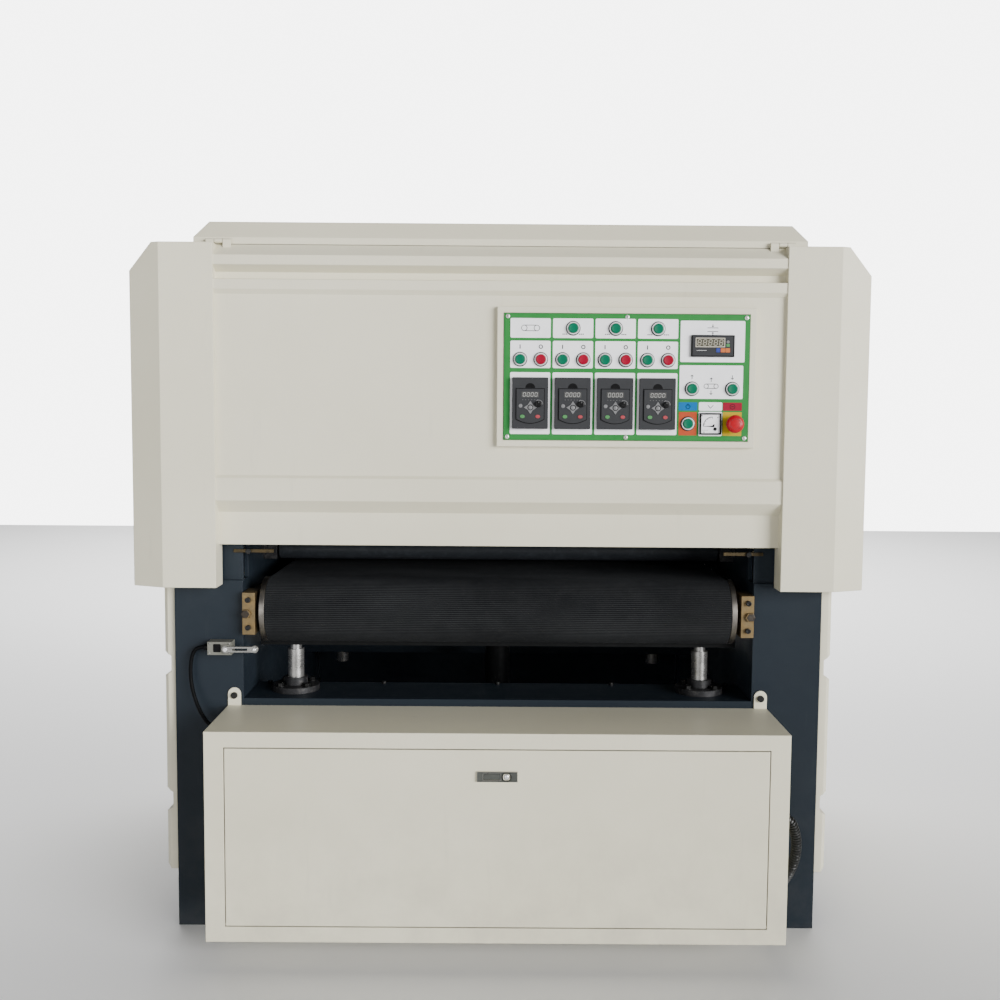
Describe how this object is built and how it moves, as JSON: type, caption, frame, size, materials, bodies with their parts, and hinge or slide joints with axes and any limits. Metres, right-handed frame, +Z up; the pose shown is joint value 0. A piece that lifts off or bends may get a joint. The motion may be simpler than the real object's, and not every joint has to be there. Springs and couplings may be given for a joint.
{
  "type": "drum sander",
  "caption": "Wide three-drum sander: conveyor on lift columns under a covered head with a control panel, over a front electrical cabinet.",
  "frame": {"origin": "on the floor under the middle of the machine's box", "axes": "+Z up, -Y towards the infeed side, +X to the right seen from the infeed"},
  "size_m": [1.664, 1.445, 1.638],
  "materials": {
    "beige_paint": "powder coat, fine texture",
    "blue_paint": "semi-gloss enamel",
    "black_casting": "oiled",
    "zinc": "zinc plated",
    "zinc_yellow": "yellow zinc plated",
    "steel": "machined",
    "ground_steel": "ground and polished",
    "motor_paint": "hammer paint",
    "belt_rubber": "ribbed",
    "roller_rubber": "smooth",
    "abrasive": "abrasive cloth",
    "plastic_grey": "moulded",
    "plastic_dark": "moulded",
    "plastic_black": "moulded",
    "plastic_green": "moulded",
    "plastic_red": "moulded",
    "panel_green": "printed film",
    "switch_grey": "die cast, painted",
    "cable_black": "matt"
  },
  "bodies": {
    "frame": {"side_frames": "blue_paint", "cross_beams": "blue_paint", "column_flanges": "black_casting", "fasteners": "zinc", "lift_jack": "motor_paint", "bearing_housings": "black_casting", "drum_motors": "motor_paint", "drive_belts": "belt_rubber", "front_cover": "beige_paint", "rear_cover": "beige_paint", "side_covers": "beige_paint", "electrical_cabinet": "beige_paint", "electrical_gear": "plastic_grey", "panel_box": "beige_paint", "panel_plate": "panel_green", "button_bezels": "plastic_black", "pilot_lamps": "plastic_green", "drive_keypads": "plastic_dark", "panel_instruments": "plastic_black", "limit_switch": "switch_grey", "limit_cable": "cable_black", "conduit": "cable_black"},
    "conveyor": {"conveyor_bed": "steel", "conveyor_side_bars": "zinc_yellow", "conveyor_belt": "belt_rubber", "lift_columns": "ground_steel", "conveyor_gearmotor": "motor_paint"},
    "lift_screw": {"lift_screw": "steel"},
    "front_roller": {"front_roller": "steel"},
    "drive_roller": {"drive_roller": "steel"},
    "pressure_roller_front": {"pressure_roller_front": "roller_rubber"},
    "pressure_roller_rear": {"pressure_roller_rear": "roller_rubber"},
    "top_lid": {"top_lid": "beige_paint"},
    "side_door_left": {"side_door_left": "beige_paint"},
    "side_door_right": {"side_door_right": "beige_paint"},
    "cabinet_door": {"cabinet_door": "beige_paint"},
    "lock_handle": {"lock_handle": "black_casting"},
    "lock_button": {"lock_button": "ground_steel"},
    "emergency_stop": {"emergency_stop": "plastic_red"},
    "up_button": {"up_button": "plastic_green"},
    "down_button": {"down_button": "plastic_green"},
    "limit_lever": {"limit_lever": "zinc"},
    "sanding_drum_1": {"sanding_drum_1": "abrasive"},
    "motor_pulley_1": {"motor_pulley_1": "black_casting"},
    "sanding_drum_2": {"sanding_drum_2": "abrasive"},
    "motor_pulley_2": {"motor_pulley_2": "black_casting"},
    "sanding_drum_3": {"sanding_drum_3": "abrasive"},
    "motor_pulley_3": {"motor_pulley_3": "black_casting"},
    "start_button_1": {"start_button_1": "plastic_green"},
    "stop_button_1": {"stop_button_1": "plastic_red"},
    "speed_knob_1": {"speed_knob_1": "plastic_black"},
    "start_button_2": {"start_button_2": "plastic_green"},
    "stop_button_2": {"stop_button_2": "plastic_red"},
    "speed_knob_2": {"speed_knob_2": "plastic_black"},
    "start_button_3": {"start_button_3": "plastic_green"},
    "stop_button_3": {"stop_button_3": "plastic_red"},
    "speed_knob_3": {"speed_knob_3": "plastic_black"},
    "start_button_4": {"start_button_4": "plastic_green"},
    "stop_button_4": {"stop_button_4": "plastic_red"},
    "speed_knob_4": {"speed_knob_4": "plastic_black"}
  },
  "joints": [
    {"name": "conveyor_lift", "type": "slide", "parent": "frame", "child": "conveyor", "axis": [0, 0, 1], "range_m": [-0.07, 0.012]},
    {"name": "lift_screw_turn", "type": "hinge", "parent": "frame", "child": "lift_screw", "pos_m": [0, 0.0525, 0.25], "axis": [0, 0, 1], "range_deg": [-2521, 433]},
    {"name": "drive_roller_spin", "type": "hinge", "parent": "conveyor", "child": "drive_roller", "pos_m": [0, 0.4775, 0.7475], "axis": [1, 0, 0], "continuous": true},
    {"name": "front_roller_spin", "type": "hinge", "parent": "conveyor", "child": "front_roller", "pos_m": [0, -0.4448, 0.7475], "axis": [1, 0, 0], "continuous": true},
    {"name": "drum_spin_1", "type": "hinge", "parent": "frame", "child": "sanding_drum_1", "pos_m": [0, -0.0975, 0.926], "axis": [1, 0, 0], "continuous": true},
    {"name": "motor_spin_1", "type": "hinge", "parent": "frame", "child": "motor_pulley_1", "pos_m": [0, -0.0975, 1.3], "axis": [1, 0, 0], "continuous": true},
    {"name": "drum_spin_2", "type": "hinge", "parent": "frame", "child": "sanding_drum_2", "pos_m": [0, 0.1025, 0.926], "axis": [1, 0, 0], "continuous": true},
    {"name": "motor_spin_2", "type": "hinge", "parent": "frame", "child": "motor_pulley_2", "pos_m": [0, 0.1025, 1.3], "axis": [1, 0, 0], "continuous": true},
    {"name": "drum_spin_3", "type": "hinge", "parent": "frame", "child": "sanding_drum_3", "pos_m": [0, 0.3025, 0.926], "axis": [1, 0, 0], "continuous": true},
    {"name": "motor_spin_3", "type": "hinge", "parent": "frame", "child": "motor_pulley_3", "pos_m": [0, 0.3025, 1.3], "axis": [1, 0, 0], "continuous": true},
    {"name": "pressure_roller_front_spin", "type": "hinge", "parent": "frame", "child": "pressure_roller_front", "pos_m": [0, -0.2475, 0.867], "axis": [1, 0, 0], "continuous": true},
    {"name": "pressure_roller_rear_spin", "type": "hinge", "parent": "frame", "child": "pressure_roller_rear", "pos_m": [0, 0.4475, 0.867], "axis": [1, 0, 0], "continuous": true},
    {"name": "start_press_1", "type": "slide", "parent": "frame", "child": "start_button_1", "axis": [0, 1, 0], "range_m": [0, 0.003], "stiffness_N_per_m": 500, "springref_m": -0.001},
    {"name": "stop_press_1", "type": "slide", "parent": "frame", "child": "stop_button_1", "axis": [0, 1, 0], "range_m": [0, 0.003], "stiffness_N_per_m": 500, "springref_m": -0.001},
    {"name": "start_press_2", "type": "slide", "parent": "frame", "child": "start_button_2", "axis": [0, 1, 0], "range_m": [0, 0.003], "stiffness_N_per_m": 500, "springref_m": -0.001},
    {"name": "stop_press_2", "type": "slide", "parent": "frame", "child": "stop_button_2", "axis": [0, 1, 0], "range_m": [0, 0.003], "stiffness_N_per_m": 500, "springref_m": -0.001},
    {"name": "start_press_3", "type": "slide", "parent": "frame", "child": "start_button_3", "axis": [0, 1, 0], "range_m": [0, 0.003], "stiffness_N_per_m": 500, "springref_m": -0.001},
    {"name": "stop_press_3", "type": "slide", "parent": "frame", "child": "stop_button_3", "axis": [0, 1, 0], "range_m": [0, 0.003], "stiffness_N_per_m": 500, "springref_m": -0.001},
    {"name": "start_press_4", "type": "slide", "parent": "frame", "child": "start_button_4", "axis": [0, 1, 0], "range_m": [0, 0.003], "stiffness_N_per_m": 500, "springref_m": -0.001},
    {"name": "stop_press_4", "type": "slide", "parent": "frame", "child": "stop_button_4", "axis": [0, 1, 0], "range_m": [0, 0.003], "stiffness_N_per_m": 500, "springref_m": -0.001},
    {"name": "up_press", "type": "slide", "parent": "frame", "child": "up_button", "axis": [0, 1, 0], "range_m": [0, 0.003], "stiffness_N_per_m": 500, "springref_m": -0.001},
    {"name": "down_press", "type": "slide", "parent": "frame", "child": "down_button", "axis": [0, 1, 0], "range_m": [0, 0.003], "stiffness_N_per_m": 500, "springref_m": -0.001},
    {"name": "emergency_press", "type": "slide", "parent": "frame", "child": "emergency_stop", "axis": [0, 1, 0], "range_m": [0, 0.006]},
    {"name": "speed_turn_1", "type": "hinge", "parent": "frame", "child": "speed_knob_1", "pos_m": [0.086, -0.5765, 1.2315], "axis": [0, 1, 0], "range_deg": [-135, 135]},
    {"name": "speed_turn_2", "type": "hinge", "parent": "frame", "child": "speed_knob_2", "pos_m": [0.1802, -0.5765, 1.2315], "axis": [0, 1, 0], "range_deg": [-135, 135]},
    {"name": "speed_turn_3", "type": "hinge", "parent": "frame", "child": "speed_knob_3", "pos_m": [0.2744, -0.5765, 1.2315], "axis": [0, 1, 0], "range_deg": [-135, 135]},
    {"name": "speed_turn_4", "type": "hinge", "parent": "frame", "child": "speed_knob_4", "pos_m": [0.3686, -0.5765, 1.2315], "axis": [0, 1, 0], "range_deg": [-135, 135]},
    {"name": "limit_lever_swing", "type": "hinge", "parent": "frame", "child": "limit_lever", "pos_m": [-0.622, -0.5395, 0.669], "axis": [0, 1, 0], "range_deg": [-30, 30], "stiffness_Nm_per_rad": 2},
    {"name": "top_lid_open", "type": "hinge", "parent": "frame", "child": "top_lid", "pos_m": [0, -0.5285, 1.59], "axis": [1, 0, 0], "range_deg": [0, 70]},
    {"name": "cabinet_door_open", "type": "hinge", "parent": "frame", "child": "cabinet_door", "pos_m": [0, -0.7155, 0.106], "axis": [1, 0, 0], "range_deg": [0, 90]},
    {"name": "lock_handle_pull", "type": "hinge", "parent": "cabinet_door", "child": "lock_handle", "pos_m": [0.007, -0.722, 0.436], "axis": [0, 0, 1], "range_deg": [0, 75]},
    {"name": "lock_button_press", "type": "slide", "parent": "cabinet_door", "child": "lock_button", "axis": [0, 1, 0], "range_m": [0, 0.003], "stiffness_N_per_m": 500, "springref_m": -0.001},
    {"name": "side_door_right_open", "type": "hinge", "parent": "frame", "child": "side_door_right", "pos_m": [0.782, 0.5835, 0], "axis": [0, 0, 1], "range_deg": [0, 110]},
    {"name": "side_door_left_open", "type": "hinge", "parent": "frame", "child": "side_door_left", "pos_m": [-0.782, 0.5835, 0], "axis": [0, 0, -1], "range_deg": [0, 110]}
  ],
  "couplings": [
    {"joint": "lift_screw_turn", "follows": "conveyor_lift", "rad_per_m": 628.32},
    {"joint": "front_roller_spin", "follows": "drive_roller_spin", "ratio": 1},
    {"joint": "motor_spin_1", "follows": "drum_spin_1", "ratio": 0.8},
    {"joint": "motor_spin_2", "follows": "drum_spin_2", "ratio": 0.8},
    {"joint": "motor_spin_3", "follows": "drum_spin_3", "ratio": 0.8}
  ]
}
